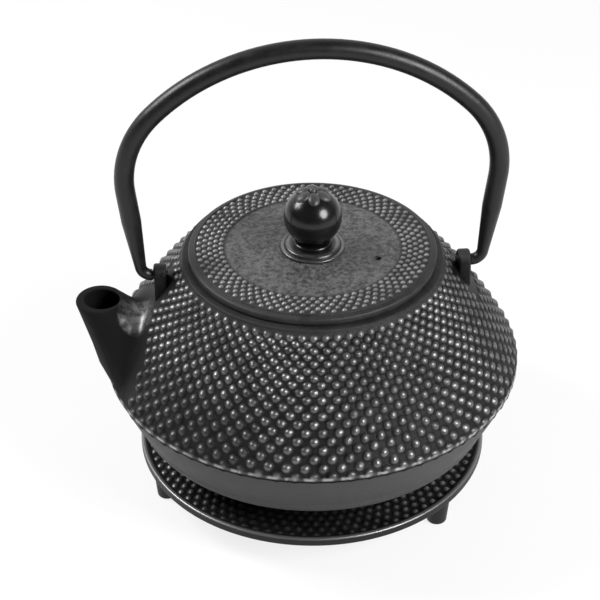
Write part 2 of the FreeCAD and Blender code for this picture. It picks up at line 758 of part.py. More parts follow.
# Knob: ball on a short foot, tapped from below
knob = body_of("lid_knob")
foot_top = rosette_top + size("knob_foot_height")
ball_middle = foot_top + root(size("knob_radius") * size("knob_radius")
                              - size("knob_neck_radius") * size("knob_neck_radius"))
screw_end = rosette_top + size("screw_grip")
knob_ball = turned(knob, "knob_section", [
    (ZERO, screw_end),
    (size("screw_radius"), screw_end),
    (size("screw_radius"), rosette_top),
    (size("knob_foot_radius"), rosette_top),
    (size("knob_foot_radius"), foot_top),
    (size("knob_neck_radius"), foot_top),
    (ZERO, ball_middle + size("knob_radius")),
], {5: (size("knob_radius"), -1)})
rounded(knob, "knob_foot_edge", knob_ball, size("knob_foot_round"), lambda edge: (
    is_circle_at(edge, size("knob_foot_radius"), foot_top)))

# Washer and slotted screw under the lid
washer = body_of("knob_washer")
washer_low = lid_low - size("washer_thickness")
turned(washer, "washer_section", [
    (screw_hole, washer_low),
    (size("washer_radius"), washer_low),
    (size("washer_radius"), lid_low),
    (screw_hole, lid_low),
])
screw = body_of("knob_screw")
head_low = washer_low - size("screw_head_height")
turned(screw, "screw_section", [
    (ZERO, head_low),
    (size("screw_head_radius"), head_low),
    (size("screw_head_radius"), washer_low),
    (size("screw_radius"), washer_low),
    (size("screw_radius"), screw_end),
    (ZERO, screw_end),
])
slot_outline = sketch_on(screw, "slot_outline", "XY_Plane", (ZERO, ZERO, head_low))
slot_half = size("screw_slot_width") / 2
slot_reach = size("screw_head_radius") + size("screw_slot_width")
outline(slot_outline, [
    (-slot_reach, -slot_half),
    (slot_reach, -slot_half),
    (slot_reach, slot_half),
    (-slot_reach, slot_half),
])
slot = screw.newObject("PartDesign::Pocket", "slot")
slot.Profile = slot_outline
slot.Reversed = True
slot.Length = size("screw_slot_depth").value
slot.setExpression("Length", size("screw_slot_depth").formula)
doc.recompute()

# The spout reaches further out than the belly, so the set is moved to stand over the origin
NODES = (trivet, pot, bail, infuser_rim, infuser_wall, infuser_cap, lid, rosette, knob, washer, screw)
set_shift = (spout_reach(LEVELS[-1]) + size("spout_half_e") - ridge_radius) / 2
for node in NODES:
    node.Placement = FreeCAD.Placement(FreeCAD.Vector(set_shift.value, 0, 0), FreeCAD.Rotation())
    node.setExpression("Placement.Base.x", set_shift.formula)
doc.recompute()

# Every sub-part is checked and written to a file named after it
for item in doc.Objects:
    if "Invalid" in item.State or "Error" in item.State:
        raise RuntimeError("not built: " + item.Name)
os.makedirs("parts", exist_ok=True)
for node in NODES:
    if node.Shape.isNull() or not node.Shape.isValid() or len(node.Shape.Solids) != 1:
        raise RuntimeError("not one valid solid: " + node.Label)
    node.Shape.exportStep("parts/%s.step" % node.Label)
    print("%-15s %10.1f mm3" % (node.Label, node.Shape.Volume))
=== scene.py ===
import json
import math

import bpy
from mathutils import Matrix, Vector

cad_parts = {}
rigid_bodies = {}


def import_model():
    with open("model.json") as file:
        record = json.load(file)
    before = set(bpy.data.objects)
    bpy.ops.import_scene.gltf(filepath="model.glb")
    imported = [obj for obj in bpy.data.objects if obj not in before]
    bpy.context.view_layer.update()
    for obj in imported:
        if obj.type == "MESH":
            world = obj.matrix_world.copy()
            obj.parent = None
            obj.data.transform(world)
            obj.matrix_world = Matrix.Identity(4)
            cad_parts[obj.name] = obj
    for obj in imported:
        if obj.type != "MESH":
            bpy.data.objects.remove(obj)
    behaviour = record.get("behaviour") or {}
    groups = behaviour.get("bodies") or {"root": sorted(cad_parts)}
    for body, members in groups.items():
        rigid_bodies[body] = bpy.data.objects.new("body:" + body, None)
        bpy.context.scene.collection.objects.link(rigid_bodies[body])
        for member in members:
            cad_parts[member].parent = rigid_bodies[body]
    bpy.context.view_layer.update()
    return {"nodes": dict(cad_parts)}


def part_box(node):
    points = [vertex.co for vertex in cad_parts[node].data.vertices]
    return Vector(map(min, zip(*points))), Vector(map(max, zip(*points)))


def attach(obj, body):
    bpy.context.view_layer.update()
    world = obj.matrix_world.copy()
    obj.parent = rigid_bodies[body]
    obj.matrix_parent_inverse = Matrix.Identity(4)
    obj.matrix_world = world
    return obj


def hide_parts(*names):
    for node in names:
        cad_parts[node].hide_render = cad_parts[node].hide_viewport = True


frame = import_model()

# Trivet: a round iron plate cast in sand, with a thin raised rim, a flat landing for the pot and
# three stub feet.  Its floor carries staggered rings of small hobnails cast in one with it, and
# the whole is lacquered black; handling has rubbed the rim's edge and the nails' tops.
trivet = frame["nodes"]["trivet"]
trivet_low, trivet_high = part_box("trivet")
axis = Vector(((trivet_low.x + trivet_high.x) / 2, (trivet_low.y + trivet_high.y) / 2, 0.0))


def node_of(tree, kind, **values):
    """A shader node with its plain values set."""
    node = tree.nodes.new(kind)
    for socket, value in values.items():
        node.inputs[socket.replace("_", " ")].default_value = value
    return node


def feed(tree, socket, value):
    """Gives a socket a plain number or another node's output."""
    if isinstance(value, float):
        socket.default_value = value
    else:
        tree.links.new(value, socket)


def together(tree, operation, *terms):
    """Terms put together one after another by one operation."""
    total = terms[0]
    for term in terms[1:]:
        node = tree.nodes.new("ShaderNodeMath")
        node.operation = operation
        feed(tree, node.inputs[0], total)
        feed(tree, node.inputs[1], term)
        total = node.outputs["Value"]
    return total


def slope(tree, value, start, end, first=0.0, last=1.0):
    """Runs from first to last while a value runs from start to end."""
    node = node_of(tree, "ShaderNodeMapRange", From_Min=start, From_Max=end)
    feed(tree, node.inputs["Value"], value)
    feed(tree, node.inputs["To Min"], first)
    feed(tree, node.inputs["To Max"], last)
    return node.outputs["Result"]


def cloud_of(tree, width, detail, coarse):
    """A cloudy pattern of about this width, fixed to the piece."""
    place = tree.nodes.new("ShaderNodeTexCoord")
    cloud = node_of(tree, "ShaderNodeTexNoise", Scale=1.0 / width, Detail=detail, Roughness=coarse)
    tree.links.new(place.outputs["Object"], cloud.inputs["Vector"])
    return cloud.outputs["Fac"]


def round_axis(tree):
    """Distance from the pot's axis, turn round it and height above the table."""
    place = tree.nodes.new("ShaderNodeTexCoord")
    centred = node_of(tree, "ShaderNodeMapping", Location=-axis)
    parts = tree.nodes.new("ShaderNodeSeparateXYZ")
    tree.links.new(place.outputs["Object"], centred.inputs["Vector"])
    tree.links.new(centred.outputs["Vector"], parts.inputs["Vector"])
    along, across, height = parts.outputs
    square = together(tree, "ADD", together(tree, "MULTIPLY", along, along),
                      together(tree, "MULTIPLY", across, across))
    return together(tree, "SQRT", square, 0.0), together(tree, "ARCTAN2", across, along), height


lacquer_cloud = {"width": 0.007, "detail": 9.0, "coarse": 0.72}
pit_cloud = {"detail": 4.0, "coarse": 0.7}
tone_limits = (0.38, 0.66)
sheen_limits = (0.35, 0.65)
wear_limits = (0.36, 0.56)
wear_kept = (0.35, 1.0)
polish_index = 2.25


def lacquered_iron(name, tones, sheen, shine, grain, depth, worn_tone=0.05, worn_sheen=0.4,
                   rubbed_and_lit=None, shaded=None, dulled=None):
    """Black lacquer over sand-cast iron: cloudy tone, patchy sheen and a fine pitted skin.  Where a
    mesh carries wear, or the mask passed in marks rubbed wear and painted highlights, the skin is paler
    and polished; shaded alters the tone, painted light and shade included, and dulled the sheen."""
    finish = bpy.data.materials.new(name)
    finish.use_nodes = True
    tree = finish.node_tree
    skin = tree.nodes["Principled BSDF"]
    cloud = cloud_of(tree, **lacquer_cloud)
    wear = tree.nodes.new("ShaderNodeAttribute")
    wear.attribute_name = "wear"
    worn = together(tree, "MULTIPLY", wear.outputs["Fac"], slope(tree, cloud, *wear_limits, *wear_kept))
    if rubbed_and_lit:
        worn = together(tree, "MAXIMUM", worn, rubbed_and_lit(tree))
    tone = slope(tree, worn, 0.0, 1.0, slope(tree, cloud, *tone_limits, *tones), worn_tone)
    if shaded:
        tone = shaded(tree, tone)
    roughness = slope(tree, worn, 0.0, 1.0, slope(tree, cloud, *sheen_limits, *sheen), worn_sheen)
    if dulled:
        roughness = dulled(tree, roughness)
    pits = node_of(tree, "ShaderNodeBump", Strength=1.0, Distance=depth)
    feed(tree, pits.inputs["Height"], cloud_of(tree, grain, **pit_cloud))
    feed(tree, skin.inputs["Base Color"], tone)
    feed(tree, skin.inputs["Roughness"], roughness)
    feed(tree, skin.inputs["Coat Weight"], worn)
    feed(tree, skin.inputs["Normal"], pits.outputs["Normal"])
    skin.inputs["Specular IOR Level"].default_value = shine
    skin.inputs["Coat Roughness"].default_value = worn_sheen
    skin.inputs["Coat IOR"].default_value = polish_index
    return finish


def dress(node, finish):
    """Gives a piece its finish."""
    node.data.materials.clear()
    node.data.materials.append(finish)


weld = 0.00003
crease = math.radians(60.0)


def turned(name, outline, sides, middle):
    """A piece turned round an upright line along an outline of reaches and heights."""
    bpy.ops.object.select_all(action="DESELECT")
    reach, height = outline[0]
    bpy.ops.mesh.primitive_circle_add(vertices=sides, radius=reach, location=(middle.x, middle.y, height))
    piece = bpy.context.object
    piece.name = name
    bpy.ops.object.transform_apply(location=True, rotation=True, scale=True)
    bpy.ops.object.mode_set(mode="EDIT")
    bpy.ops.mesh.select_all(action="SELECT")
    for next_reach, next_height in outline[1:]:
        bpy.ops.mesh.extrude_region_move(TRANSFORM_OT_translate={"value": (0.0, 0.0, next_height - height)})
        share = next_reach / reach
        bpy.ops.transform.resize(value=(share, share, 1.0), center_override=(middle.x, middle.y, next_height))
        reach, height = next_reach, next_height
    bpy.ops.mesh.select_all(action="SELECT")
    bpy.ops.mesh.remove_doubles(threshold=weld)
    bpy.ops.mesh.normals_make_consistent(inside=False)
    bpy.ops.object.mode_set(mode="OBJECT")
    bpy.ops.object.shade_smooth_by_angle(angle=crease)
    return piece


def between(value, start, end):
    """How far a value has come from start to end, from 0 to 1."""
    return min(1.0, max(0.0, (value - start) / (end - start)))


def mark_wear(piece, worn):
    """Marks how far each place of a piece is worn, from 0 to 1."""
    wear = piece.data.attributes.new("wear", "FLOAT", "POINT")
    for corner, spot in zip(piece.data.vertices, wear.data):
        spot.value = worn(corner.co)


nail_bell = ((1.04, -0.10), (0.98, 0.02), (0.80, 0.19), (0.60, 0.45), (0.42, 0.74), (0.24, 0.93),
             (0.10, 0.99), (0.005, 1.0))
nail_sides = 10
nail_worn = (0.25, 0.7)
tip = 0.00001


def cut_hobnail(radius, rise):
    """One hobnail, a low bell, worn to a shine at its top."""
    outline = [(max(reach * radius, tip), up * rise) for reach, up in nail_bell]
    nail = turned("hobnail", outline, nail_sides, Vector())
    mark_wear(nail, lambda place: between(place.z / rise, *nail_worn))
    return nail


def spun(count):
    """Repeats the active piece all round the pot's axis."""
    bpy.ops.object.mode_set(mode="EDIT")
    bpy.ops.mesh.select_all(action="SELECT")
    bpy.ops.mesh.spin(steps=count - 1, dupli=True, angle=2.0 * math.pi * (count - 1) / count,
                      center=axis, axis=(0.0, 0.0, 1.0))
    bpy.ops.object.mode_set(mode="OBJECT")


def ring_of_hobnails(nail, spot, facing, count, turn, scale=1.0):
    """A hobnail copied to a spot, stood along the surface there and spun round the pot's axis."""
    bpy.ops.object.select_all(action="DESELECT")
    nail.select_set(True)
    bpy.context.view_layer.objects.active = nail
    bpy.ops.object.duplicate()
    ring = bpy.context.object
    stand = Matrix.Translation(spot) @ facing.to_track_quat("Z", "Y").to_matrix().to_4x4()
    swing = Matrix.Translation(axis) @ Matrix.Rotation(turn, 4, "Z") @ Matrix.Translation(-axis)
    ring.matrix_world = swing @ stand @ Matrix.Scale(scale, 4)
    bpy.ops.object.transform_apply(location=True, rotation=True, scale=True)
    spun(count)
    return ring


probe_above = 0.01


def flat_rings(casting, top, way, nail, count, outer, step, number):
    """Rings of hobnails on a flat casting, from the outermost inwards, each half a pitch on."""
    rings = []
    for place in range(number):
        reach = outer - place * step
        above = Vector((axis.x + reach * way.x, axis.y + reach * way.y, top + probe_above))
        spot, facing = casting.ray_cast(above, Vector((0.0, 0.0, -1.0)))[1:3]
        rings.append(ring_of_hobnails(nail, spot, facing, count, place * math.pi / count))
    return rings


def joined(name, pieces):
    """Pieces joined into the first of them."""
    bpy.ops.object.select_all(action="DESELECT")
    for piece in pieces:
        piece.select_set(True)
    whole = pieces[0]
    bpy.context.view_layer.objects.active = whole
    bpy.ops.object.join()
    whole.name = name
    return whole


def cover_of(name, rings, nail, uneven):
    """Joins rings of hobnails into one cover and roughens each nail a little, as casting does."""
    bpy.data.objects.remove(nail)
    cover = joined(name, rings)
    bpy.ops.object.mode_set(mode="EDIT")
    bpy.ops.mesh.select_all(action="SELECT")
    bpy.ops.transform.vertex_random(offset=uneven, seed=len(rings))
    bpy.ops.object.mode_set(mode="OBJECT")
    return cover


def fade_wear_to_shade(cover, kept):
    """Leaves each place of a cover with a share of its wear; where little is left, the nails show painted
    shade.
    """
    for corner, spot in zip(cover.data.vertices, cover.data.attributes["wear"].data):
        turn = math.degrees(math.atan2(corner.co.y - axis.y, corner.co.x - axis.x))
        spot.value *= kept(turn, corner.co.z)


rim_inset = 0.0016
rim_drop = 0.0007
rim_soft = 0.0005
rim_reach = (trivet_high.x - trivet_low.x) / 2 - rim_inset
rim_height = trivet_high.z - rim_drop


def rim_rub(tree):
    """The top of the trivet's rim."""
    reach, _, height = round_axis(tree)
    return together(tree, "MULTIPLY", slope(tree, reach, rim_reach, rim_reach + rim_soft),
                    slope(tree, height, rim_height, rim_height + rim_soft))


trivet_iron = lacquered_iron("trivet_iron", tones=(0.003, 0.008), sheen=(0.42, 0.54), shine=0.3,
                             grain=0.0006, depth=0.00006, worn_tone=0.07, worn_sheen=0.38,
                             rubbed_and_lit=rim_rub)
dress(trivet, trivet_iron)
trivet_nail = cut_hobnail(radius=0.0017, rise=0.00065)
trivet_rings = flat_rings(trivet, trivet_high.z, Vector((1.0, 0.0, 0.0)), trivet_nail,
                          count=88, outer=0.0636, step=0.0032, number=5)
trivet_cover = cover_of("trivet_hobnails", trivet_rings, trivet_nail, uneven=0.00005)

# Painted shade: at the front, where the pot shades the trivet, its nails keep little of their wear and stay
# dark; to both sides the wear comes back.
front_shade_wear_kept = 0.1
shade_ends_towards_spout = (-125.0, -150.0)
shade_ends_away_from_spout = (-88.0, -55.0)
fade_wear_to_shade(trivet_cover, lambda turn, up: max(front_shade_wear_kept, between(turn, *shade_ends_towards_spout),
                                             between(turn, *shade_ends_away_from_spout)))
dress(trivet_cover, trivet_iron)
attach(trivet_cover, "trivet")

# Pot: one sand casting of belly, horn spout, ears and collar, lacquered black.  Staggered rings of
# hobnails run from the ridge up to the collar and leave out a plain apron about the spout and the two
# ears.  The ridge's edge is rubbed in dashes that also carry a painted highlight, the saddle behind
# the spout carries a painted highlight, the spout and a line under the ridge carry painted shade, and
# the band below the ridge carries painted light from the floor.
pot = frame["nodes"]["pot_body"]
pot_count = 74
ridge_height = 0.0548
ridge_radius = 0.0794
ridge_reach = 0.0783
ridge_edge = (0.0535, 0.0551)
ridge_soft = 0.0006
# Tone of the ridge's dashes: worn grey iron with a painted highlight.
ridge_worn_highlight_tone = 0.22
dash_wave = (-0.6, 0.3)
dash_kept = (0.15, 1.0)
dash_cloud = {"width": 0.0024, "detail": 3.0, "coarse": 0.5}
dash_limits = (0.36, 0.5)
dash_broken = (0.3, 1.0)


def ridge_wear_and_highlight(tree):
    """The ridge's edge in short dashes at the pitch of the nails, rubbed and carrying a painted highlight."""
    reach, turn, height = round_axis(tree)
    wave = together(tree, "SINE", together(tree, "MULTIPLY", turn, float(pot_count)), 0.0)
    return together(tree, "MULTIPLY", slope(tree, wave, *dash_wave, *dash_kept),
                    slope(tree, cloud_of(tree, **dash_cloud), *dash_limits, *dash_broken),
                    slope(tree, reach, ridge_reach, ridge_reach + ridge_soft),
                    slope(tree, height, ridge_edge[0], ridge_edge[0] + ridge_soft),
                    slope(tree, height, ridge_edge[1], ridge_edge[1] - ridge_soft))


def distance_from(tree, middle):
    """Distance from a point of the piece."""
    place = tree.nodes.new("ShaderNodeTexCoord")
    gap = tree.nodes.new("ShaderNodeVectorMath")
    gap.operation = "DISTANCE"
    gap.inputs[1].default_value = middle
    tree.links.new(place.outputs["Object"], gap.inputs[0])
    return gap.outputs["Value"]


# The saddle's pale patch is a painted highlight.
saddle_middle = Vector((-0.0614, -0.0057, 0.0780))
saddle_fade = (0.009, 0.001)
saddle_highlight_tone = 0.12
saddle_cloud = {"width": 0.003, "detail": 3.0, "coarse": 0.6}
saddle_limits = (0.4, 0.6)
saddle_kept = (0.2, 1.0)


def saddle_highlight(tree):
    """A painted highlight: a bright glossy patch on the saddle between spout and shoulder."""
    return together(tree, "MULTIPLY", slope(tree, distance_from(tree, saddle_middle), *saddle_fade),
                    slope(tree, cloud_of(tree, **saddle_cloud), *saddle_limits, *saddle_kept))


def pot_wear_and_highlights(tree):
    """The ridge's dashes, rubbed and with a painted highlight, and the saddle's painted highlight."""
    return together(tree, "MAXIMUM", ridge_wear_and_highlight(tree), saddle_highlight(tree))


# The spout's darkness and the line under the ridge are painted shade, and are made dull as well.
spout_middle = Vector((-0.0760, -0.004, 0.0650))
spout_fade = (0.029, 0.021)
spout_shade_share = 0.9
under_ridge = (0.0517, 0.0536)
painted_shade_tone = 0.001
painted_shade_sheen = 0.85


def spout_and_ridge_shade(tree):
    """Painted shade on the spout's dark, dull side, and a painted shadow line under the ridge's overhang."""
    *_, height = round_axis(tree)
    spout = slope(tree, distance_from(tree, spout_middle), *spout_fade, 0.0, spout_shade_share)
    line = together(tree, "MULTIPLY",
                    slope(tree, height, under_ridge[0], under_ridge[0] + ridge_soft),
                    slope(tree, height, under_ridge[1], under_ridge[1] - ridge_soft / 2))
    return together(tree, "MAXIMUM", spout, line)


collar_height = 0.0958
collar_paler = 0.016
# Painted light: the band below the ridge is made paler, as the white floor lights it.
band_floor_light = 0.036


def pot_tone(tree, tone):
    """The lacquer's tone: painted floor light on the band below the ridge, paler on the collar, worn grey
    iron with a painted highlight in the ridge's dashes, a painted highlight on the saddle, and painted shade
    on the spout and under the ridge."""
    *_, height = round_axis(tree)
    band = together(tree, "ADD", tone,
                    slope(tree, height, under_ridge[1], under_ridge[0], 0.0, band_floor_light),
                    slope(tree, height, collar_height - ridge_soft, collar_height, 0.0, collar_paler))
    ridge_worn_and_lit = slope(tree, ridge_wear_and_highlight(tree), 0.0, 1.0, band, ridge_worn_highlight_tone)
    with_painted_shade = slope(tree, spout_and_ridge_shade(tree), 0.0, 1.0, ridge_worn_and_lit, painted_shade_tone)
    return slope(tree, saddle_highlight(tree), 0.0, 1.0, with_painted_shade, saddle_highlight_tone)


def pot_sheen(tree, roughness):
    """The lacquer's roughness, dull where the shade is painted."""
    return slope(tree, spout_and_ridge_shade(tree), 0.0, 1.0, roughness, painted_shade_sheen)


pot_iron = lacquered_iron("pot_iron", tones=(0.001, 0.012), sheen=(0.46, 0.58), shine=0.22,
                          grain=0.0007, depth=0.00018, worn_tone=0.030, worn_sheen=0.37,
                          rubbed_and_lit=pot_wear_and_highlights, shaded=pot_tone, dulled=pot_sheen)
dress(pot, pot_iron)
nail_shrink = 0.2
probe_beside = 0.2
pot_nail = cut_hobnail(radius=0.0024, rise=0.00095)
pot_rings = []
height = ridge_height
while height < collar_height:
    beside = Vector((axis.x, axis.y - probe_beside, height))
    spot, facing = pot.ray_cast(beside, Vector((0.0, 1.0, 0.0)))[1:3]
    up = (height - ridge_height) / (collar_height - ridge_height)
    pot_rings.append(ring_of_hobnails(pot_nail, spot, facing, pot_count,
                                      len(pot_rings) * math.pi / pot_count, 1.0 - nail_shrink * up))
    half_pitch = math.pi * (axis.y - spot.y) / pot_count
    height += half_pitch * math.hypot(facing.x, facing.y)
pot_cover = cover_of("pot_hobnails", pot_rings, pot_nail, uneven=0.00012)

apron = ((0.0540, 0.0285), (0.0600, 0.0275), (0.0635, 0.0262), (0.0680, 0.0230), (0.0735, 0.0180),
         (0.0770, 0.0134), (0.0803, 0.0053))
ear_reach = (0.0538, 0.0614)
ear_width = 0.0068


def bare_place(spot):
    """True on the plain apron round the spout and where an ear stands."""
    out = abs(spot.x - axis.x)
    if ear_reach[0] < out < ear_reach[1] and abs(spot.y) < ear_width:
        return True
    if spot.x > axis.x:
        return False
    for (low, wide), (high, narrow) in zip(apron, apron[1:]):
        if low <= spot.z < high:
            return abs(spot.y) < wide + (narrow - wide) * (spot.z - low) / (high - low)
    return False


def pick(piece, kind, parts, wanted):
    """Selects, in edit mode, the corners or fields of a piece that are wanted."""
    bpy.ops.object.mode_set(mode="EDIT")
    bpy.ops.mesh.select_mode(type=kind)
    bpy.ops.mesh.select_all(action="DESELECT")
    bpy.ops.object.mode_set(mode="OBJECT")
    for part in getattr(piece.data, parts):
        part.select = wanted(part)
    bpy.ops.object.mode_set(mode="EDIT")


pick(pot_cover, "VERT", "vertices", lambda corner: bare_place(corner.co))
bpy.ops.mesh.select_linked()
bpy.ops.mesh.delete(type="VERT")
bpy.ops.object.mode_set(mode="OBJECT")

# The lowest nails are dressed back to the ridge's own reach, so that the pot keeps its size.
for corner in pot_cover.data.vertices:
    over = math.hypot(corner.co.x - axis.x, corner.co.y - axis.y) / ridge_radius
    if over > 1.0:
        corner.co.x = axis.x + (corner.co.x - axis.x) / over
        corner.co.y = axis.y + (corner.co.y - axis.y) / over

# Painted shade: the low nails on the front of the spout's side lose most of their wear and stay dark.
low_front_shade_turn = (-104.0, -122.0)
low_front_shade_height = (0.0790, 0.0690)
low_front_shade_loss = 0.65
fade_wear_to_shade(pot_cover, lambda turn, up: 1.0 - low_front_shade_loss * between(turn, *low_front_shade_turn) * between(up, *low_front_shade_height))
dress(pot_cover, pot_iron)
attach(pot_cover, "pot")

# Bail: a round iron bar forged to an arch, drawn thin at its legs and hooked into the ears, with
# the same black lacquer, rubbed smooth by hands.
bail = frame["nodes"]["handle"]
dress(bail, lacquered_iron("handle_iron", tones=(0.004, 0.009), sheen=(0.33, 0.43), shine=0.38,
                           grain=0.0016, depth=0.00006))

# Infuser rim: a ring of stainless steel, spun with a flange that hangs in the collar's rest and
# brushed to a satin finish.  The basket's wall hangs from it.
infuser_steel = bpy.data.materials.new("infuser_steel")
infuser_steel.use_nodes = True
tree = infuser_steel.node_tree
metal = tree.nodes["Principled BSDF"]
metal.inputs["Metallic"].default_value = 1.0
steel_limits = (0.3, 0.7)
steel_tones = (0.48, 0.62)
steel_sheen = (0.22, 0.4)
place = tree.nodes.new("ShaderNodeTexCoord")
stretch = node_of(tree, "ShaderNodeMapping", Scale=(60.0, 60.0, 4000.0))
brush = node_of(tree, "ShaderNodeTexNoise", Scale=1.0, Detail=4.0)
lines = node_of(tree, "ShaderNodeBump", Strength=1.0, Distance=0.00001)
tree.links.new(place.outputs["Object"], stretch.inputs["Vector"])
tree.links.new(stretch.outputs["Vector"], brush.inputs["Vector"])
feed(tree, metal.inputs["Base Color"], slope(tree, brush.outputs["Fac"], *steel_limits, *steel_tones))
feed(tree, metal.inputs["Roughness"], slope(tree, brush.outputs["Fac"], 0.0, 1.0, *steel_sheen))
feed(tree, lines.inputs["Height"], brush.outputs["Fac"])
feed(tree, metal.inputs["Normal"], lines.outputs["Normal"])
dress(frame["nodes"]["infuser_rim"], infuser_steel)

# Infuser wall: thin stainless sheet pierced all over with small holes, rolled up and held by the
# rim above and the cap below.
wall_low, wall_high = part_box("infuser_wall")
wall_radius = (wall_high.x - wall_low.x) / 2
wall_height = wall_high.z - wall_low.z
sheet = 0.0005
hole_columns = 110
hole_rows = 22
bridge_share = 0.28


def pierced(piece, bridge, holed):
    """A turned sheet with a hole opened in each field that is to be holed, thickened inwards."""
    pick(piece, "FACE", "polygons", lambda field: holed(field.center))
    bpy.ops.mesh.inset(thickness=bridge, use_individual=True, use_even_offset=True)
    bpy.ops.mesh.delete(type="FACE")
    bpy.ops.mesh.select_mode(type="VERT")
    bpy.ops.object.mode_set(mode="OBJECT")
    thick = piece.modifiers.new("sheet", "SOLIDIFY")
    thick.thickness = sheet
    thick.offset = -1.0
    bpy.ops.object.modifier_apply(modifier=thick.name)


wall_rows = [(wall_radius, wall_low.z + wall_height * row / hole_rows) for row in range(hole_rows + 1)]
basket = turned("pierced_wall", wall_rows, hole_columns, axis)
pierced(basket, bridge_share * wall_height / hole_rows, lambda spot: True)
dress(basket, infuser_steel)
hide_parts("infuser_wall")
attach(basket, "infuser")

# Infuser bottom: a stainless cap pressed with a lip over the wall's end and pierced in rings round a
# plain middle.
cap_low, cap_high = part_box("infuser_bottom")
cap_radius = (cap_high.x - cap_low.x) / 2
cap_bend = 0.0006
cap_corner = 0.3 * cap_bend
cap_hole_reach = (0.009, 0.0353)
cap_hole_rings = 11
cap_columns = 72
cap_bridge = 0.00022
cap_outline = [(cap_radius, cap_high.z), (cap_radius, cap_low.z + cap_bend),
               (cap_radius - cap_corner, cap_low.z + cap_corner), (cap_radius - cap_bend, cap_low.z)]
for ring in range(cap_hole_rings + 1):
    share = ring / cap_hole_rings
    cap_outline.append((cap_hole_reach[1] + (cap_hole_reach[0] - cap_hole_reach[1]) * share, cap_low.z))
cap_outline.append((tip, cap_low.z))
cap = turned("pierced_cap", cap_outline, cap_columns, axis)
pierced(cap, cap_bridge, lambda spot: cap_hole_reach[0] < (spot - axis).xy.length < cap_hole_reach[1])
dress(cap, infuser_steel)
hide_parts("infuser_bottom")
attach(cap, "infuser")

# Lid: a flat iron casting with a thin plain edge, rings of hobnails inside a low bead and a plain
# sandy middle, paler than the rest, where a small vent lets the steam out.
lid = frame["nodes"]["lid"]
lid_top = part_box("lid")[1].z
sandy_reach = 0.0328
sandy_soft = 0.0006
sandy_cloud = {"width": 0.0018, "detail": 6.0, "coarse": 0.8}
sandy_limits = (0.40, 0.62)
sandy_tones = (0.02, 0.14)


def sandy_middle(tree, tone):
    """The lid's tone, with bare mottled sand colour in its middle."""
    reach, *_ = round_axis(tree)
    mottle = slope(tree, cloud_of(tree, **sandy_cloud), *sandy_limits, *sandy_tones)
    return slope(tree, reach, sandy_reach - sandy_soft, sandy_reach + sandy_soft, mottle, tone)


lid_iron = lacquered_iron("lid_iron", tones=(0.008, 0.022), sheen=(0.4, 0.55), shine=0.42,
                          grain=0.0007, depth=0.0002, worn_tone=0.16, worn_sheen=0.36,
                          shaded=sandy_middle)
dress(lid, lid_iron)
lid_nail = cut_hobnail(radius=0.00142, rise=0.00075)
lid_rings = flat_rings(lid, lid_top, Vector((0.0, 1.0, 0.0)), lid_nail,
                       count=70, outer=0.0429, step=0.0021, number=5)
lid_cover = cover_of("lid_hobnails", lid_rings, lid_nail, uneven=0.00005)
dress(lid_cover, lid_iron)
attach(lid_cover, "lid")

# Rosette: two rounded rings, one standing on the other, cast in one and enamelled black.  The knob's
# screw clamps it between the knob and the lid, and its two crests are worn.
rosette_low, rosette_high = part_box("knob_rosette")
rosette_radius = (rosette_high.x - rosette_low.x) / 2
rosette_rise = rosette_high.z - rosette_low.z
rosette_shares = ((0.94, 0.0), (0.98, 0.06), (1.0, 0.24), (0.99, 0.42), (0.96, 0.53), (0.92, 0.55),
                  (0.88, 0.49), (0.86, 0.42), (0.855, 0.6), (0.84, 0.8), (0.80, 0.96), (0.75, 1.0),
                  (0.70, 0.95), (0.67, 0.88), (0.64, 0.97), (0.61, 1.0), (0.19, 1.0), (0.19, 0.0),
                  (0.94, 0.0))
rosette_outline = [(out * rosette_radius, rosette_low.z + up * rosette_rise) for out, up in rosette_shares]
rosette_sides = 96
rosette_crests = (0.93, 0.76)
crest_width = 0.09


def crest_wear(place):
    """Wear of the rosette, full on its two crests."""
    share = math.hypot(place.x - axis.x, place.y - axis.y) / rosette_radius
    return max(0.0, 1.0 - min(abs(share - crest) for crest in rosette_crests) / crest_width)


rosette = turned("rosette", rosette_outline, rosette_sides, axis)
mark_wear(rosette, crest_wear)
dress(rosette, lacquered_iron("rosette_enamel", tones=(0.006, 0.014), sheen=(0.26, 0.36), shine=0.55,
                              grain=0.0012, depth=0.00005, worn_tone=0.05, worn_sheen=0.34))
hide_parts("knob_rosette")
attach(rosette, "lid")

# Knob: a ball on a slim neck and a rounded foot, cast in one, tapped from below for its screw and
# enamelled gloss black.
knob_low, knob_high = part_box("lid_knob")
ball = (knob_high.x - knob_low.x) / 2
ball_middle = Vector((axis.x, axis.y, knob_high.z - ball))
foot_outline = ((tip, 0.0), (0.0070, 0.0), (0.0074, 0.0002), (0.0076, 0.0006), (0.0075, 0.0011),
                (0.0071, 0.0015), (0.0065, 0.0016), (0.0056, 0.0015), (0.0050, 0.0016),
                (0.0047, 0.00175))
ball_start = -64.0
ball_crown = 90.0
ball_steps = 26
knob_sides = 64
knob_outline = [(reach, knob_low.z + up) for reach, up in foot_outline]
for step in range(ball_steps + 1):
    lean = math.radians(ball_start + (ball_crown - ball_start) * step / ball_steps)
    knob_outline.append((max(ball * math.cos(lean), tip), ball_middle.z + ball * math.sin(lean)))
knob = turned("knob", knob_outline, knob_sides, axis)
dress(knob, lacquered_iron("knob_enamel", tones=(0.003, 0.006), sheen=(0.19, 0.26), shine=0.45,
                           grain=0.003, depth=0.00003))
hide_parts("lid_knob")
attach(knob, "lid")

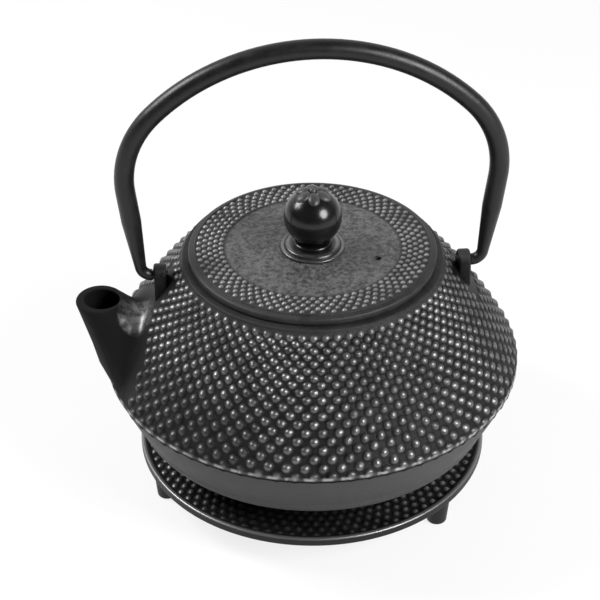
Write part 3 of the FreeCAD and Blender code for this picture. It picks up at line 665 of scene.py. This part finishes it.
# Bud: a boss and a ring of petals in low relief on the knob's crown, cast in one with it and
# enamelled, greyer than the ball.
petal_count = 6
petal_lean = math.radians(23.0)
petal_half = Vector((0.0023, 0.0030, 0.0012))
petal_sink = 0.0003
boss_radius = 0.0014
bud_sides = 16
bud_rings = 10
bpy.ops.object.select_all(action="DESELECT")
bpy.ops.mesh.primitive_uv_sphere_add(segments=bud_sides, ring_count=bud_rings, radius=1.0)
petal = bpy.context.object
bpy.ops.object.mode_set(mode="EDIT")
bpy.ops.mesh.select_all(action="SELECT")
bpy.ops.transform.resize(value=petal_half)
bpy.ops.object.mode_set(mode="OBJECT")
bpy.ops.object.shade_smooth()
rise = Matrix.Translation(Vector((0.0, 0.0, ball - petal_sink)))
petal.matrix_world = Matrix.Translation(ball_middle) @ Matrix.Rotation(petal_lean, 4, "X") @ rise
bpy.ops.object.transform_apply(location=True, rotation=True, scale=True)
spun(petal_count)
bpy.ops.object.select_all(action="DESELECT")
bpy.ops.mesh.primitive_uv_sphere_add(segments=bud_sides, ring_count=bud_rings, radius=boss_radius,
                                     location=ball_middle + Vector((0.0, 0.0, ball)))
boss = bpy.context.object
bpy.ops.object.transform_apply(location=True, rotation=True, scale=True)
bpy.ops.object.shade_smooth()
bud = joined("knob_bud", [petal, boss])
dress(bud, lacquered_iron("bud_enamel", tones=(0.02, 0.06), sheen=(0.3, 0.42), shine=0.6,
                          grain=0.0008, depth=0.0001))
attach(bud, "lid")

# Screw and washer: plain turned steel, out of sight under the lid, where the screw draws the knob and
# the rosette down on it.
for part in ("knob_washer", "knob_screw"):
    dress(frame["nodes"][part], infuser_steel)

# Floor: a broad pale table top, white to the eye and with the pot's soft shadow on it.
table_size = 12.0
paper_tone = (0.9, 0.9, 0.9, 1.0)
paper_sheen = 0.8
glow_share = 0.82
bpy.ops.object.select_all(action="DESELECT")
bpy.ops.mesh.primitive_plane_add(size=table_size, location=(0.0, 0.0, 0.0))
floor = bpy.context.object
floor.name = "floor"
table_top = bpy.data.materials.new("table_top")
table_top.use_nodes = True
tree = table_top.node_tree
paper = tree.nodes["Principled BSDF"]
paper.inputs["Base Color"].default_value = paper_tone
paper.inputs["Roughness"].default_value = paper_sheen
glow = tree.nodes.new("ShaderNodeEmission")
path = tree.nodes.new("ShaderNodeLightPath")
blend = tree.nodes.new("ShaderNodeMixShader")
seen = together(tree, "MAXIMUM", path.outputs["Is Camera Ray"], path.outputs["Is Glossy Ray"],
                path.outputs["Is Transmission Ray"])
feed(tree, blend.inputs["Fac"], together(tree, "MULTIPLY", seen, glow_share))
tree.links.new(paper.outputs["BSDF"], blend.inputs[1])
tree.links.new(glow.outputs["Emission"], blend.inputs[2])
tree.links.new(blend.outputs["Shader"], tree.nodes["Material Output"].inputs["Surface"])
dress(floor, table_top)

# Light: a dim room, bright behind the table, and two large round soft boxes.
room_depth = (0.1, 0.8)
room_strength = (0.11, 0.9)
room = bpy.data.worlds.new("room")
bpy.context.scene.world = room
room.use_nodes = True
tree = room.node_tree
place = tree.nodes.new("ShaderNodeTexCoord")
parts = tree.nodes.new("ShaderNodeSeparateXYZ")
tree.links.new(place.outputs["Generated"], parts.inputs["Vector"])
background = tree.nodes["Background"]
background.inputs["Color"].default_value = (1.0, 1.0, 1.0, 1.0)
feed(tree, background.inputs["Strength"], slope(tree, parts.outputs["Y"], *room_depth, *room_strength))

aim_height = 0.07
subject = Vector((axis.x, axis.y, aim_height))
box_away = 0.9
for name, side, width, power in (("right_box", Vector((0.62, -0.58, 0.53)), 0.47, 9.5),
                                 ("left_box", Vector((-0.73, 0.18, 0.66)), 0.40, 7.2)):
    lamp = bpy.data.lights.new(name, "AREA")
    lamp.shape = "DISK"
    lamp.size = width
    lamp.energy = power
    box = bpy.data.objects.new(name, lamp)
    bpy.context.scene.collection.objects.link(box)
    box.location = subject + side.normalized() * box_away
    box.rotation_euler = side.to_track_quat("Z", "Y").to_euler()

# Camera: the photograph's place and angle, a long lens a little to the spout's side.
camera_place = (-0.05568, -0.64243, 0.52940)
camera_tilt = math.radians(54.99)
camera_turn = math.radians(-5.0)
lens = bpy.data.cameras.new("camera")
lens.sensor_width = 36.0
lens.lens = 123.6
camera = bpy.data.objects.new("camera", lens)
bpy.context.scene.collection.objects.link(camera)
camera.location = camera_place
camera.rotation_euler = (camera_tilt, 0.0, camera_turn)
bpy.context.scene.camera = camera
bpy.context.scene.view_settings.view_transform = "Standard"
